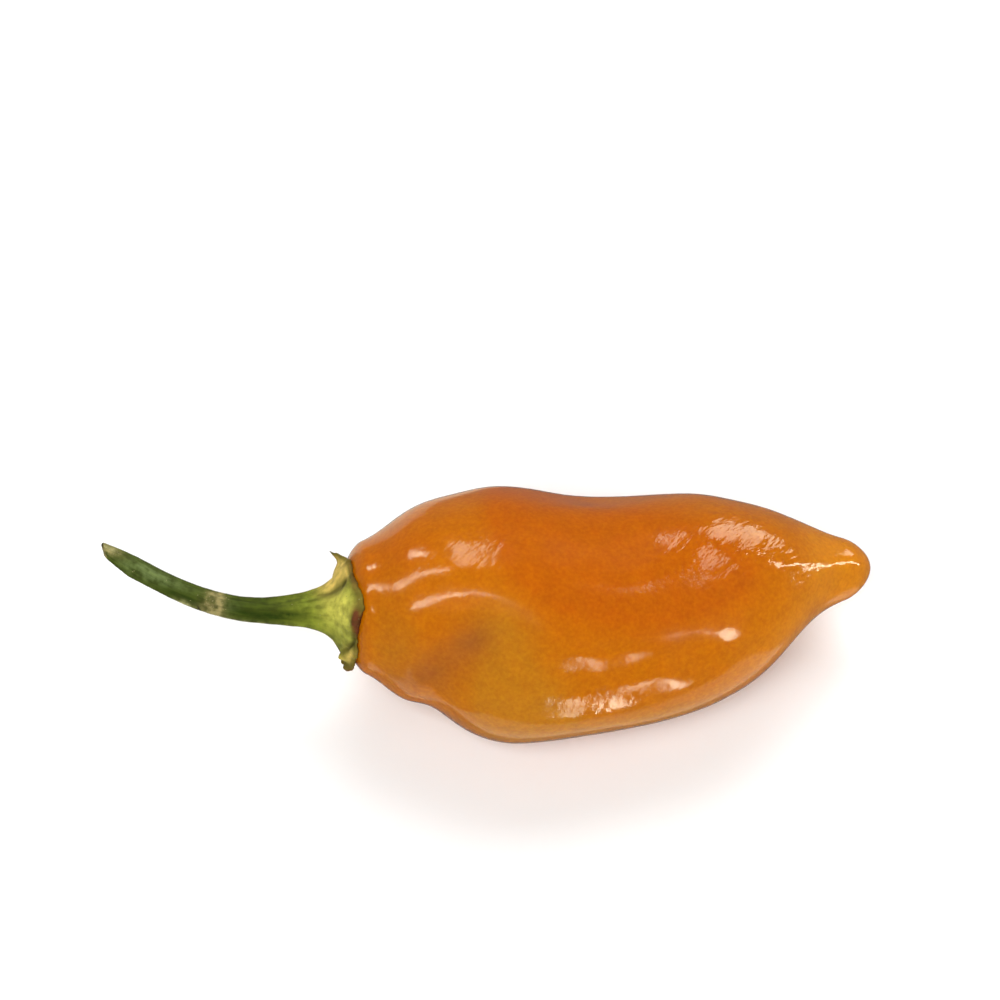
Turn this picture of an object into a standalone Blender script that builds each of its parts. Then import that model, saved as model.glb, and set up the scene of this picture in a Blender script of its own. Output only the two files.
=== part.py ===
"""An orange chilli pepper with a wrinkled, pointed pod, as picked and laid on its side.

Two pieces: the pod, and the green stem, which flares into the calyx on the pod's shoulder.
+X runs from the stem's cut end to the pod's tip, +Z is up, and the pod rests on Z = 0.
Sizes are in millimetres until a mesh is made, and angles are in degrees.
"""

import math

import bpy
import numpy as np

METRES = 0.001

# Round its axis the chilli is described in clock angles, as seen by a viewer in front of it who looks
# down at this angle: 0 is its far edge, 90 faces the viewer, 180 is its near edge and 270 its back.
LOOKING_DOWN = 60.0

# The pod's middle line, from the calyx to the tip: X, Y and Z.
POD_AXIS = [
    (-3.0, -0.4, 15.2),
    (0.0, 0.0, 14.9),
    (15.0, 0.9, 13.3),
    (30.0, 1.9, 12.3),
    (44.0, 4.6, 11.4),
    (52.0, 7.3, 10.4),
    (61.0, 8.9, 9.2),
]

# How far the flesh reaches from that line: X, then the reach at the far edge, front, near edge and back.
POD_OUTLINE = [
    (-1.2, 7.3, 7.3, 7.1, 7.3),
    (1.5, 8.0, 8.0, 7.7, 7.8),
    (3.8, 9.4, 9.9, 9.3, 9.2),
    (6.0, 11.2, 11.5, 10.6, 10.3),
    (9.0, 12.7, 12.7, 11.3, 11.3),
    (12.5, 13.7, 13.4, 13.5, 12.2),
    (16.5, 14.4, 13.9, 15.2, 12.7),
    (21.0, 14.1, 14.2, 15.4, 12.9),
    (28.0, 12.9, 13.8, 14.6, 12.8),
    (36.0, 12.5, 13.0, 13.6, 12.0),
    (43.0, 11.6, 11.2, 11.6, 10.4),
    (50.0, 8.2, 8.2, 7.4, 7.6),
    (56.0, 4.3, 4.6, 4.4, 4.4),
    (60.9, 2.8, 2.9, 2.9, 2.7),
]
POD_START, POD_END = -1.2, 60.9
SHOULDER_DOME, TIP_DOME = 2.7, 3.2

# Swells stand out of that outline and hollows sink into it. Each has its place along X, its clock angle,
# half its length and width, the turn of its length from +X towards the far edge, and its height.
POD_RELIEF = [
    (9.5, 62.0, 4.5, 5.0, 10.0, 0.6),  # the shoulder's rounded lobe
    (11.0, 119.0, 4.8, 2.6, 38.0, -1.3),  # the hollow beside it
    (18.5, 145.0, 5.0, 4.0, -10.0, 0.5),  # the full lobe at the near edge
    (22.5, 102.0, 5.5, 1.9, -32.0, 0.45),  # the ridge between that lobe and the trough
    (33.0, 66.0, 8.0, 3.6, -40.0, -0.45),  # the long shallow trough slanting across the front
    (42.0, 54.0, 5.0, 3.6, -12.0, 0.6),  # the swell that fills out the far side
    (42.0, 114.0, 5.0, 3.0, -8.0, 0.5),  # the low swell facing it
    (53.0, 80.0, 5.0, 1.2, 0.0, 0.35),  # the crease line that leads to the tip
    (31.0, 158.0, 7.0, 2.6, 6.0, 0.4),  # the swell along the near edge
    (26.0, 12.0, 7.0, 2.6, 0.0, -0.5),  # the furrow between two lobes on the far side
    (22.0, 300.0, 14.0, 2.2, 4.0, -1.1),  # the furrow between two lobes at the back
    (33.0, 335.0, 8.0, 3.5, 10.0, 0.5),  # a low swell at the back
    (44.0, 250.0, 6.0, 3.0, -10.0, -0.6),  # a hollow underneath, near the tip
    (7.0, 205.0, 4.0, 3.0, 0.0, -0.5),  # the dip between the calyx and the near lobe
]

# The pod's mesh: points round it, and rings along the shoulder's dome, the body and the tip's dome.
POD_AROUND = 52
SHOULDER_RINGS, BODY_RINGS, TIP_RINGS = 7, 38, 7

# The stem's middle line, from the calyx to the cut end: X, Y and Z.
STEM_AXIS = [
    (4.0, 0.2, 14.4),
    (0.0, 0.0, 14.9),
    (-6.0, -0.4, 15.5),
    (-12.4, -0.7, 16.3),
    (-17.6, 0.2, 17.4),
    (-22.8, 2.1, 18.8),
    (-28.3, 4.6, 20.7),
]

# The stem's radius along X. It widens into the calyx, and has a knuckle where it bends.
STEM_RADIUS = [
    (-28.3, 1.14),
    (-27.0, 1.20),
    (-20.0, 1.24),
    (-16.6, 1.34),
    (-14.0, 1.38),
    (-10.0, 1.52),
    (-8.5, 1.64),
    (-6.7, 1.86),
    (-5.4, 2.06),
    (-4.4, 2.32),
    (-3.2, 2.82),
    (-2.3, 3.50),
]
STEM_START, STEM_END = -2.3, -28.3
STEM_RIBS, RIB_HEIGHT = 5, 0.055  # one rib for each sepal, its height a share of the radius
CUT_SLANT, SLANT_LENGTH = 0.5, 3.0  # the upper side reaches further at the cut
CUT_ROUNDING = [(0.22, 0.86), (0.30, 0.50)]  # past the cut, and the share of the radius there

# The calyx lies on the pod's shoulder. Its distances are measured along the skin from the pod's end.
CALYX_GAP = 0.3
CALYX_REACH = 6.4
RIM_ROUNDING = 0.25
FLANGE_INNER = 4.3
FLANGE_HEIGHT, RIM_HEIGHT = 0.8, 0.6
CURL_START = 5.2

# The calyx's five teeth: clock angle, half-width, length past the rim, and how far the tip curls back
# towards the stem.
SEPALS = [
    (2.0, 17.0, 0.7, 2.0),
    (82.0, 34.0, 1.3, 0.0),
    (170.0, 24.0, 0.5, 0.6),
    (238.0, 26.0, 1.3, 0.1),
    (305.0, 28.0, 1.1, 0.3),
]

# The stem's mesh: points round it, and rings under the calyx, over it and along the stalk.
STEM_AROUND = 48
UNDER_RINGS, FLANGE_RINGS, STALK_RINGS = 6, 5, 34

POD_ORANGE, POD_ROUGHNESS = (0.578, 0.156, 0.006), 0.22
STEM_GREEN, STEM_ROUGHNESS = (0.150, 0.175, 0.036), 0.55


def smooth_through(stations, places):
    """The natural cubic spline through the stations (place, value, ...), read at these places."""
    table = np.array(sorted(stations), float)
    x, y = table[:, 0], table[:, 1:]
    step = np.diff(x)
    slope = np.diff(y, axis=0) / step[:, None]
    matrix = np.eye(len(x))
    change = np.zeros_like(y)
    for i in range(1, len(x) - 1):
        matrix[i, i - 1 : i + 2] = step[i - 1], 2 * (step[i - 1] + step[i]), step[i]
        change[i] = 6 * (slope[i] - slope[i - 1])
    bend = np.linalg.solve(matrix, change)
    i = np.clip(np.searchsorted(x, places) - 1, 0, len(x) - 2)
    h = step[i][..., None]
    a = ((x[i + 1] - places) / step[i])[..., None]
    b = 1 - a
    curve = ((a**3 - a) * bend[i] + (b**3 - b) * bend[i + 1]) * h**2 / 6
    return a * y[i] + b * y[i + 1] + curve


def unit(vectors):
    return vectors / np.linalg.norm(vectors, axis=-1, keepdims=True)


def clock_directions(axis, places, clock):
    """Points on this middle line, and the directions across it at these clock angles."""
    reach = 0.05
    points = np.concatenate([places[..., None], smooth_through(axis, places)], -1)
    slope = (smooth_through(axis, places + reach) - smooth_through(axis, places - reach)) / (2 * reach)
    ahead = unit(np.concatenate([np.ones_like(places)[..., None], slope], -1))
    down = math.radians(LOOKING_DOWN)
    viewer = np.array([0.0, -math.cos(down), math.sin(down)])
    far = unit(np.cross(viewer, ahead))
    front = np.cross(ahead, far)
    turn = np.radians(clock)[..., None]
    return points, np.cos(turn) * far + np.sin(turn) * front


def outline_reach(places, clock):
    """The pod's reach before its relief: a quarter of an ellipse between each two of the outlines."""
    far, front, near, back = np.moveaxis(smooth_through(POD_OUTLINE, places), -1, 0)
    turn = np.radians(clock)
    sideways = np.where(np.cos(turn) > 0, far, near)
    in_depth = np.where(np.sin(turn) > 0, front, back)
    return 1 / np.sqrt((np.cos(turn) / sideways) ** 2 + (np.sin(turn) / in_depth) ** 2)


def relief(places, clock, reach):
    """The height of the swells and hollows together, each one a smooth long mound."""
    height = np.zeros(places.shape)
    for place, angle, half_length, half_width, turn, rise in POD_RELIEF:
        along = places - place
        towards_far = -reach * np.radians((clock - angle + 180) % 360 - 180)
        c, s = math.cos(math.radians(turn)), math.sin(math.radians(turn))
        lengthwise = (along * c + towards_far * s) / half_length
        crosswise = (towards_far * c - along * s) / half_width
        height += rise * np.exp(-(lengthwise**2 + crosswise**2) / 2)
    return height


def dome_share(places):
    """1 along the body, and falling to 0 at both ends as a quarter of an ellipse does."""
    into_shoulder = np.clip((POD_START + SHOULDER_DOME - places) / SHOULDER_DOME, 0, 1)
    into_tip = np.clip((places - POD_END + TIP_DOME) / TIP_DOME, 0, 1)
    return np.sqrt((1 - into_shoulder**2) * (1 - into_tip**2))


def pod_skin(places, clock):
    """Points on the pod's skin, which is pressed flat where it rests."""
    reach = outline_reach(places, clock)
    reach = (reach + relief(places, clock, reach)) * dome_share(places)
    points, direction = clock_directions(POD_AXIS, places, clock)
    skin = points + reach[..., None] * direction
    skin[..., 2] = np.maximum(skin[..., 2], 0.0)
    return skin


def pod_places():
    """Where the pod's rings are along X: closer together round both domes."""
    opening = np.linspace(0, math.pi / 2, SHOULDER_RINGS + 1)[1:]
    shoulder = POD_START + SHOULDER_DOME * (1 - np.cos(opening))
    closing = np.linspace(math.pi / 2, 0, TIP_RINGS + 1)[:-1]
    tip = POD_END - TIP_DOME * (1 - np.cos(closing))
    body = np.linspace(shoulder[-1], tip[0], BODY_RINGS + 2)[1:-1]
    return np.concatenate([shoulder, body, tip])


def skin_from_end(distance, clock):
    """Points on the pod's skin this far from its end, and the outward directions there."""
    span, steps, stride = 9.0, 80, 0.3
    places = POD_START + span * np.linspace(0, 1, steps) ** 2
    skin = pod_skin(*np.meshgrid(places, clock, indexing="ij"))
    lengths = np.cumsum(np.linalg.norm(np.diff(skin, axis=0), axis=-1), axis=0)
    walked = np.vstack([np.zeros(len(clock)), lengths])

    def at(lengths_out):
        rows = []
        for i, length in enumerate(lengths_out):
            rows.append([np.interp(length, walked[:, i], skin[:, i, k]) for k in range(3)])
        return np.array(rows)

    points = at(distance)
    ahead = unit(at(distance + stride) - points)
    _, across = clock_directions(POD_AXIS, np.full(len(clock), POD_START), clock)
    around = unit(np.cross(ahead, across))
    return points, unit(np.cross(around, ahead))


def sepal_shape(clock):
    """How far the calyx's rim reaches at each clock angle, and how far it curls back there."""
    reach = np.full(clock.shape, CALYX_REACH)
    curl = np.zeros(clock.shape)
    for angle, half_width, length, curl_back in SEPALS:
        off = np.abs((clock - angle + 180) % 360 - 180) / half_width
        tooth = np.clip(1 - off, 0, 1) ** 1.3
        reach = reach + length * tooth
        curl = curl + curl_back * tooth
    return reach, curl


def calyx_ring(distance, clock, height):
    """A ring of the calyx, this far out along the pod's skin and this high above the gap."""
    reach, curl = sepal_shape(clock)
    points, outward = skin_from_end(distance, clock)
    curled = curl * np.clip((distance - CURL_START) / (reach - CURL_START), 0, 1) ** 1.5
    return points + (CALYX_GAP + height) * outward - curled[:, None] * (1, 0, 0)


def calyx_rings(clock):
    """Out along the calyx's underside to its rim, and back over its top."""
    reach, _ = sepal_shape(clock)
    rings = [calyx_ring(share * reach, clock, 0.0) for share in np.linspace(0, 1, UNDER_RINGS + 1)[1:]]
    rings.append(calyx_ring(reach, clock, RIM_HEIGHT / 2))
    edge = reach - RIM_ROUNDING
    for share in np.linspace(0, 1, FLANGE_RINGS):
        height = RIM_HEIGHT + (FLANGE_HEIGHT - RIM_HEIGHT) * share
        rings.append(calyx_ring(edge + share * (FLANGE_INNER - edge), clock, height))
    return rings


def stalk_ring(place, clock, share, slant):
    """A ring across the stalk, ribbed, and slanted where it is near the cut."""
    radius = share * smooth_through(STEM_RADIUS, np.array([place]))[0, 0]
    ribbed = radius * (1 + RIB_HEIGHT * np.cos(np.radians(STEM_RIBS * clock)))
    points, direction = clock_directions(STEM_AXIS, np.full(clock.shape, place), clock)
    points = points + ribbed[:, None] * direction
    points[:, 0] -= slant * share * np.cos(np.radians(clock))
    return points


def stalk_rings(clock):
    """From the calyx along the stalk to its cut end, closer together in the flare."""
    rings = []
    for t in np.linspace(0, 1, STALK_RINGS):
        place = STEM_START + (STEM_END - STEM_START) * (0.35 * t**2 + 0.65 * t)
        slant = CUT_SLANT * max(0.0, 1 - (place - STEM_END) / SLANT_LENGTH)
        rings.append(stalk_ring(place, clock, 1.0, slant))
    for past_cut, share in CUT_ROUNDING:
        rings.append(stalk_ring(STEM_END - past_cut, clock, share, CUT_SLANT))
    return rings


def closed_mesh(name, rings, first_point, last_point):
    """A mesh round these rings, closed at both ends by a fan of triangles to a point."""
    around = len(rings[0])
    points = [*np.concatenate(rings), first_point, last_point]
    first, last = len(points) - 2, len(points) - 1
    last_ring = (len(rings) - 1) * around
    faces = []
    for i in range(around):
        j = (i + 1) % around
        faces.append((j, i, first))
        faces.append((last_ring + i, last_ring + j, last))
        for start in range(0, last_ring, around):
            end = start + around
            faces.append((start + i, start + j, end + j, end + i))
    mesh = bpy.data.meshes.new(name)
    mesh.from_pydata([tuple(METRES * float(c) for c in point) for point in points], [], faces)
    mesh.shade_smooth()
    return mesh


def skin_material(name, colour, roughness):
    material = bpy.data.materials.new(name)
    material.use_nodes = True
    shader = material.node_tree.nodes["Principled BSDF"]
    shader.inputs["Base Color"].default_value = (*colour, 1)
    shader.inputs["Roughness"].default_value = roughness
    shader.inputs["Metallic"].default_value = 0.0
    return material


def add_piece(name, mesh, material, parent):
    mesh.materials.append(material)
    piece = bpy.data.objects.new(name, mesh)
    piece.parent = parent
    bpy.context.scene.collection.objects.link(piece)
    return piece


def add_pod(parent):
    clock = np.arange(POD_AROUND) * 360.0 / POD_AROUND
    places = pod_places()
    rings = [pod_skin(np.full(POD_AROUND, place), clock) for place in places[:-1]]
    ends = pod_skin(np.array([POD_START, POD_END]), np.zeros(2))
    mesh = closed_mesh("pod", rings, *ends)
    return add_piece("pod", mesh, skin_material("orange_skin", POD_ORANGE, POD_ROUGHNESS), parent)


def add_stem(parent):
    clock = np.arange(STEM_AROUND) * 360.0 / STEM_AROUND
    rings = calyx_rings(clock) + stalk_rings(clock)
    middle_of_calyx = calyx_ring(np.zeros(STEM_AROUND), clock, 0.0).mean(axis=0)
    middle_of_cut = rings[-1].mean(axis=0)
    mesh = closed_mesh("stem_and_calyx", rings[::-1], middle_of_cut, middle_of_calyx)
    material = skin_material("green_stem", STEM_GREEN, STEM_ROUGHNESS)
    return add_piece("stem_and_calyx", mesh, material, parent)


def main():
    for old in list(bpy.data.objects):
        bpy.data.objects.remove(old)
    chilli = bpy.data.objects.new("chilli", None)
    bpy.context.scene.collection.objects.link(chilli)
    pieces = [add_pod(chilli), add_stem(chilli)]

    # The origin goes under the middle of the whole chilli, on the surface that it rests on.
    corners = np.array([tuple(point.co) for piece in pieces for point in piece.data.vertices])
    middle = (corners.min(axis=0) + corners.max(axis=0)) / 2
    chilli.location = (-middle[0], -middle[1], 0)


main()
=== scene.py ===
import math

import bpy
import numpy as np
from mathutils import Matrix, Vector


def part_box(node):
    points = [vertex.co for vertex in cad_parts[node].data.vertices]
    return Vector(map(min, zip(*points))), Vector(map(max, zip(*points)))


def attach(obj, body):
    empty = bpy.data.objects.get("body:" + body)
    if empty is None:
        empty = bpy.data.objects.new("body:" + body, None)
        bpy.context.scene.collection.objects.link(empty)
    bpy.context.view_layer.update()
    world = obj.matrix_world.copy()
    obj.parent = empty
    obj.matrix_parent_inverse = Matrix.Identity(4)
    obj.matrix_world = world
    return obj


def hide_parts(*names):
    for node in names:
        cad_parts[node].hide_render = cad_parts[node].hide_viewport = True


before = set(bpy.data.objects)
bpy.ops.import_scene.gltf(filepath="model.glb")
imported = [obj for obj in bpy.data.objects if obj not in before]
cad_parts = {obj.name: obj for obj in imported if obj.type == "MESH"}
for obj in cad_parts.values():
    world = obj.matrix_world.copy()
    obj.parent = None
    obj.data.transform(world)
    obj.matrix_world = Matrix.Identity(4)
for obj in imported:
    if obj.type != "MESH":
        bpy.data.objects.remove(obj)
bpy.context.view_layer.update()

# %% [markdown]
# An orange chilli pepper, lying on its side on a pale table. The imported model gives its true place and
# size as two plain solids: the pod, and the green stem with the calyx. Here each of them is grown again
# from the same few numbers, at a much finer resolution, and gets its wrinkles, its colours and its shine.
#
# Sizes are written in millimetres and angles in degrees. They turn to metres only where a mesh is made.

MM = 0.001


def linear(hex_colour):
    """An sRGB hex colour, such as "cf761c", as the linear RGBA that a shader takes."""
    shares = [int(hex_colour[i : i + 2], 16) / 255 for i in (0, 2, 4)]
    return tuple(s / 12.92 if s <= 0.04045 else ((s + 0.055) / 1.055) ** 2.4 for s in shares) + (1.0,)


def add_node(tree, kind, inputs=None, **settings):
    """A new node in the tree. Each input is a plain value, or a socket to link from."""
    node = tree.nodes.new(kind)
    for name, value in settings.items():
        setattr(node, name, value)
    for key, value in (inputs or {}).items():
        if isinstance(value, bpy.types.NodeSocket):
            tree.links.new(value, node.inputs[key])
        else:
            node.inputs[key].default_value = value
    return node


def new_material(name):
    """A new material, its node tree, and the Principled BSDF in it."""
    material = bpy.data.materials.new(name)
    material.use_nodes = True
    return material, material.node_tree, material.node_tree.nodes["Principled BSDF"]


# %% [markdown]
# The pod is a tube whose middle line bends and whose girth changes, closed by a dome at each end. A tube
# like that could be sculpted, but numbers keep it true to the solid. Round the middle line, directions
# are told as on a clock, seen by a viewer who looks down at 60 degrees: 0 is the pod's far edge, 90
# faces the viewer, 180 is the near edge and 270 is the hidden back.

# %% The pod's form, in the same numbers as its solid
LOOKING_DOWN = 60.0
POD_AXIS = [
    (-3.0, -0.4, 15.2),
    (0.0, 0.0, 14.9),
    (15.0, 0.9, 13.3),
    (30.0, 1.9, 12.3),
    (44.0, 4.6, 11.4),
    (52.0, 7.3, 10.4),
    (61.0, 8.9, 9.2),
]
# Along X, and then the reach at the far edge, the front, the near edge and the back.
POD_OUTLINE = [
    (-1.2, 7.3, 7.3, 7.1, 7.3),
    (1.5, 8.0, 8.0, 7.7, 7.8),
    (3.8, 9.4, 9.9, 9.3, 9.2),
    (6.0, 11.2, 11.5, 10.6, 10.3),
    (9.0, 12.7, 12.7, 11.3, 11.3),
    (12.5, 13.7, 13.4, 13.5, 12.2),
    (16.5, 14.4, 13.9, 15.2, 12.7),
    (21.0, 14.1, 14.2, 15.4, 12.9),
    (28.0, 12.9, 13.8, 14.6, 12.8),
    (36.0, 12.5, 13.0, 13.6, 12.0),
    (43.0, 11.6, 11.2, 11.6, 10.4),
    (50.0, 8.2, 8.2, 7.4, 7.6),
    (56.0, 4.3, 4.6, 4.4, 4.4),
    (60.9, 2.8, 2.9, 2.9, 2.7),
]
POD_START, POD_END = -1.2, 60.9
SHOULDER_DOME, TIP_DOME = 2.7, 3.2
# The place along X, the clock angle, half the length and width, the turn of the length, and the height.
POD_RELIEF = [
    (9.5, 62.0, 4.5, 5.0, 10.0, 0.6),  # the shoulder's rounded lobe
    (11.0, 119.0, 4.8, 2.6, 38.0, -1.3),  # the hollow beside it
    (18.5, 145.0, 5.0, 4.0, -10.0, 0.5),  # the full lobe at the near edge
    (22.5, 102.0, 5.5, 1.9, -32.0, 0.45),  # the ridge between that lobe and the trough
    (33.0, 66.0, 8.0, 3.6, -40.0, -0.45),  # the long shallow trough slanting across the front
    (42.0, 54.0, 5.0, 3.6, -12.0, 0.6),  # the swell that fills out the far side
    (42.0, 114.0, 5.0, 3.0, -8.0, 0.5),  # the low swell facing it
    (53.0, 80.0, 5.0, 1.2, 0.0, 0.35),  # the crease line that leads to the tip
    (31.0, 158.0, 7.0, 2.6, 6.0, 0.4),  # the swell along the near edge
    (26.0, 12.0, 7.0, 2.6, 0.0, -0.5),  # the furrow between two lobes on the far side
    (22.0, 300.0, 14.0, 2.2, 4.0, -1.1),  # the furrow between two lobes at the back
    (33.0, 335.0, 8.0, 3.5, 10.0, 0.5),  # a low swell at the back
    (44.0, 250.0, 6.0, 3.0, -10.0, -0.6),  # a hollow underneath, near the tip
    (7.0, 205.0, 4.0, 3.0, 0.0, -0.5),  # the dip between the calyx and the near lobe
]
print("the pod is", POD_END - POD_START, "mm long, with", len(POD_RELIEF), "swells and hollows")

# %% [markdown]
# Between the numbers the form has to run on smoothly. Straight steps would show as flats in the gloss, so
# a natural cubic spline goes through them, as a springy ruler does through a row of nails. The clock is
# set square to the middle line at each place, so the rings of points lean with the pod as it bends.

# %% A smooth curve through the numbers, and the clock round it
def smooth_through(stations, places):
    """The natural cubic spline through the stations (place, value, ...), read at these places."""
    table = np.array(sorted(stations), float)
    x, y = table[:, 0], table[:, 1:]
    step = np.diff(x)
    slope = np.diff(y, axis=0) / step[:, None]
    matrix = np.eye(len(x))
    change = np.zeros_like(y)
    for i in range(1, len(x) - 1):
        matrix[i, i - 1 : i + 2] = step[i - 1], 2 * (step[i - 1] + step[i]), step[i]
        change[i] = 6 * (slope[i] - slope[i - 1])
    bend = np.linalg.solve(matrix, change)
    i = np.clip(np.searchsorted(x, places) - 1, 0, len(x) - 2)
    h = step[i][..., None]
    a = ((x[i + 1] - places) / step[i])[..., None]
    b = 1 - a
    curve = ((a**3 - a) * bend[i] + (b**3 - b) * bend[i + 1]) * h**2 / 6
    return a * y[i] + b * y[i + 1] + curve


def unit(vectors):
    return vectors / np.linalg.norm(vectors, axis=-1, keepdims=True)


def round_from(angle, clock):
    """How far these clock angles are round from one of them: from -180 to 180."""
    return (clock - angle + 180) % 360 - 180


def clock_directions(axis, places, clock):
    """Points on this middle line, and the directions across it at these clock angles."""
    step = 0.05
    points = np.concatenate([places[..., None], smooth_through(axis, places)], -1)
    slope = (smooth_through(axis, places + step) - smooth_through(axis, places - step)) / (2 * step)
    ahead = unit(np.concatenate([np.ones_like(places)[..., None], slope], -1))
    down = math.radians(LOOKING_DOWN)
    viewer = np.array([0.0, -math.cos(down), math.sin(down)])
    far = unit(np.cross(viewer, ahead))
    front = np.cross(ahead, far)
    turn = np.radians(clock)[..., None]
    return points, np.cos(turn) * far + np.sin(turn) * front


# %% [markdown]
# A real pod swells between its inner ribs and sinks in along them. Each such place is told as one soft
# mound: a bell curve that is long one way and short the other, and turned to lie along the ridge. Mounds
# simply add up, so one more can be set anywhere without disturbing the rest, and the same function later
# paints colours where the forms are.

# %% Swells and hollows, each one a smooth long mound
def mounds(places, clock, reach, mound_list):
    """The heights of these mounds together, at these places and clock angles."""
    height = np.zeros(places.shape)
    for place, angle, half_length, half_width, turn, rise in mound_list:
        along = places - place
        towards_far = -reach * np.radians(round_from(angle, clock))
        c, s = math.cos(math.radians(turn)), math.sin(math.radians(turn))
        lengthwise = (along * c + towards_far * s) / half_length
        crosswise = (towards_far * c - along * s) / half_width
        height += rise * np.exp(-(lengthwise**2 + crosswise**2) / 2)
    return height


def outline_reach(places, clock):
    """The pod's reach before its relief: a quarter of an ellipse between each two of the outlines."""
    far, front, near, back = np.moveaxis(smooth_through(POD_OUTLINE, places), -1, 0)
    turn = np.radians(clock)
    sideways = np.where(np.cos(turn) > 0, far, near)
    in_depth = np.where(np.sin(turn) > 0, front, back)
    return 1 / np.sqrt((np.cos(turn) / sideways) ** 2 + (np.sin(turn) / in_depth) ** 2)


def dome_share(places):
    """1 along the body, and falling to 0 at both ends as a quarter of an ellipse does."""
    into_shoulder = np.clip((POD_START + SHOULDER_DOME - places) / SHOULDER_DOME, 0, 1)
    into_tip = np.clip((places - POD_END + TIP_DOME) / TIP_DOME, 0, 1)
    return np.sqrt((1 - into_shoulder**2) * (1 - into_tip**2))


def pod_skin(places, clock):
    """Points on the pod's skin, which is pressed flat where it rests."""
    reach = outline_reach(places, clock)
    relief = mounds(places, clock, reach, POD_RELIEF + SHALLOW_RELIEF)
    reach = (reach + relief) * dome_share(places)
    points, direction = clock_directions(POD_AXIS, places, clock)
    skin = points + reach[..., None] * direction
    skin[..., 2] = np.maximum(skin[..., 2], 0.0)
    return skin


# %% [markdown]
# A closed skin is easiest to make from rings of points, one behind the other, with a fan of triangles to
# a single point at each end. Each ring's places are worked out all at once with numpy, so even
# ninety thousand faces take a moment. The rings crowd together round both domes, as contour lines do.

# %% A closed mesh from rings, with masks painted on its points
def closed_mesh(name, rings, first_point, last_point, masks):
    """A mesh round these rings. masks gives each mask's name and its values, ring by ring."""
    count, around = len(rings), len(rings[0])
    points = np.concatenate([np.concatenate(rings), [first_point, last_point]])
    i = np.arange(around)
    j = (i + 1) % around
    starts = around * np.arange(count - 1)[:, None]
    quads = np.stack([starts + i, starts + j, starts + around + j, starts + around + i], -1).reshape(-1, 4)
    first, last, last_ring = count * around, count * around + 1, (count - 1) * around
    fans = np.concatenate([
        np.stack([j, i, np.full(around, first)], -1),
        np.stack([last_ring + i, last_ring + j, np.full(around, last)], -1),
    ])
    mesh = bpy.data.meshes.new(name)
    mesh.from_pydata((points * MM).tolist(), [], quads.tolist() + fans.tolist())
    for mask, values in masks.items():
        both_ends = values[[0, -1]].mean(axis=1)
        if values.ndim == 3:
            layer = mesh.attributes.new(mask, "FLOAT_VECTOR", "POINT")
            layer.data.foreach_set("vector", np.concatenate([values.ravel(), both_ends.ravel()]))
        else:
            layer = mesh.attributes.new(mask, "FLOAT", "POINT")
            layer.data.foreach_set("value", np.concatenate([values.ravel(), both_ends]))
    mesh.shade_smooth()
    return mesh


# %% [markdown]
# The big swells are in the imported solid too. A few shallow ones are only here, because they matter to
# the reflections alone: the near side is a little flatter than a round tube, which turns it up towards the
# light, and a fine ridge runs out to the tip.
#
# The skin isn't one orange either. It ripens unevenly: deep orange from the top to the trough, golden on
# the lobe by the near edge and towards the tip. The hollow is painted browner, partly for its bruised flesh
# and partly as painted shade in the dip, and a faint amber along the far edge is painted light, a lighter
# edge where the light from behind falls.
# All of this is told as the same kind of mounds, so that the colours lie where the forms are, seen from
# any side.

# %% Shallow relief, and where the skin is deep orange, golden, amber or painted lighter, bruised with painted shade, or wrinkled
# Each mound is told as in POD_RELIEF. In the paints, its height is the strength of the paint.
SHALLOW_RELIEF = [
    (24.8, 118.0, 2.8, 1.9, 0.0, -0.45),  # the dip in the near side
    (25.0, 147.0, 4.0, 2.2, 0.0, 0.4),  # the brow under it
    (30.5, 119.0, 2.2, 1.6, 8.0, -0.4),  # a smaller dip beside it
    (36.2, 118.0, 2.4, 1.7, 0.0, -0.35),  # and another
    (50.5, 81.0, 4.5, 0.5, 0.0, 0.09),  # the fine ridge that runs out to the tip
    (53.3, 93.0, 2.0, 1.3, 0.0, 0.12),  # and the cheek under its end
    (39.3, 56.0, 2.3, 2.6, 0.0, 0.34),  # the far lobe's crown, set back a little
    (46.5, 56.0, 2.2, 2.6, 0.0, 0.2),  # and its fuller right flank
    (23.5, 58.0, 3.0, 4.0, 0.0, -0.2),  # the slope down from the shoulder, gentler
]
DEEP_ORANGE = [
    (20.0, 20.0, 5.0, 8.0, 0.0, 1.3),
    (4.5, 45.0, 3.5, 4.0, 0.0, 0.8),
    (22.5, 55.0, 4.5, 5.5, 0.0, 1.2),
    (28.5, 80.0, 5.5, 4.5, -20.0, 0.9),
    (37.0, 80.0, 5.0, 5.5, -10.0, 0.7),
    (33.0, 30.0, 6.0, 6.0, 0.0, 0.8),
    (42.0, 76.0, 4.5, 3.5, 0.0, 0.6),
    (30.0, 290.0, 10.0, 7.0, 0.0, 0.9),
    (44.0, 330.0, 6.0, 4.0, 0.0, 0.5),
]
GOLDEN = [
    (17.5, 118.0, 4.0, 4.5, 20.0, 0.8),
    (18.0, 147.0, 5.5, 5.0, 0.0, 1.0),
    (15.5, 92.0, 3.0, 3.0, 0.0, 0.6),
    (32.0, 160.0, 9.0, 3.0, 0.0, 1.1),
    (12.5, 34.0, 2.6, 4.0, 0.0, 0.3),
    (3.8, 122.0, 3.0, 5.5, 0.0, 0.75),
    (15.0, 225.0, 7.0, 7.0, 0.0, 0.9),
    (40.0, 190.0, 8.0, 4.0, 0.0, 0.5),
]
# Amber towards the tip is the skin's own colour; the last mound is painted light, not amber.
AMBER_AND_PAINTED_LIGHT = [
    (58.0, 100.0, 6.0, 8.0, 0.0, 1.0),
    (57.0, 270.0, 6.0, 9.0, 0.0, 1.1),
    (47.0, 138.0, 7.0, 4.5, 0.0, 0.9),
    # Painted light: the far edge made lighter, where the light from behind falls on it.
    (38.0, 10.0, 12.0, 4.0, 0.0, 0.45),
]
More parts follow.
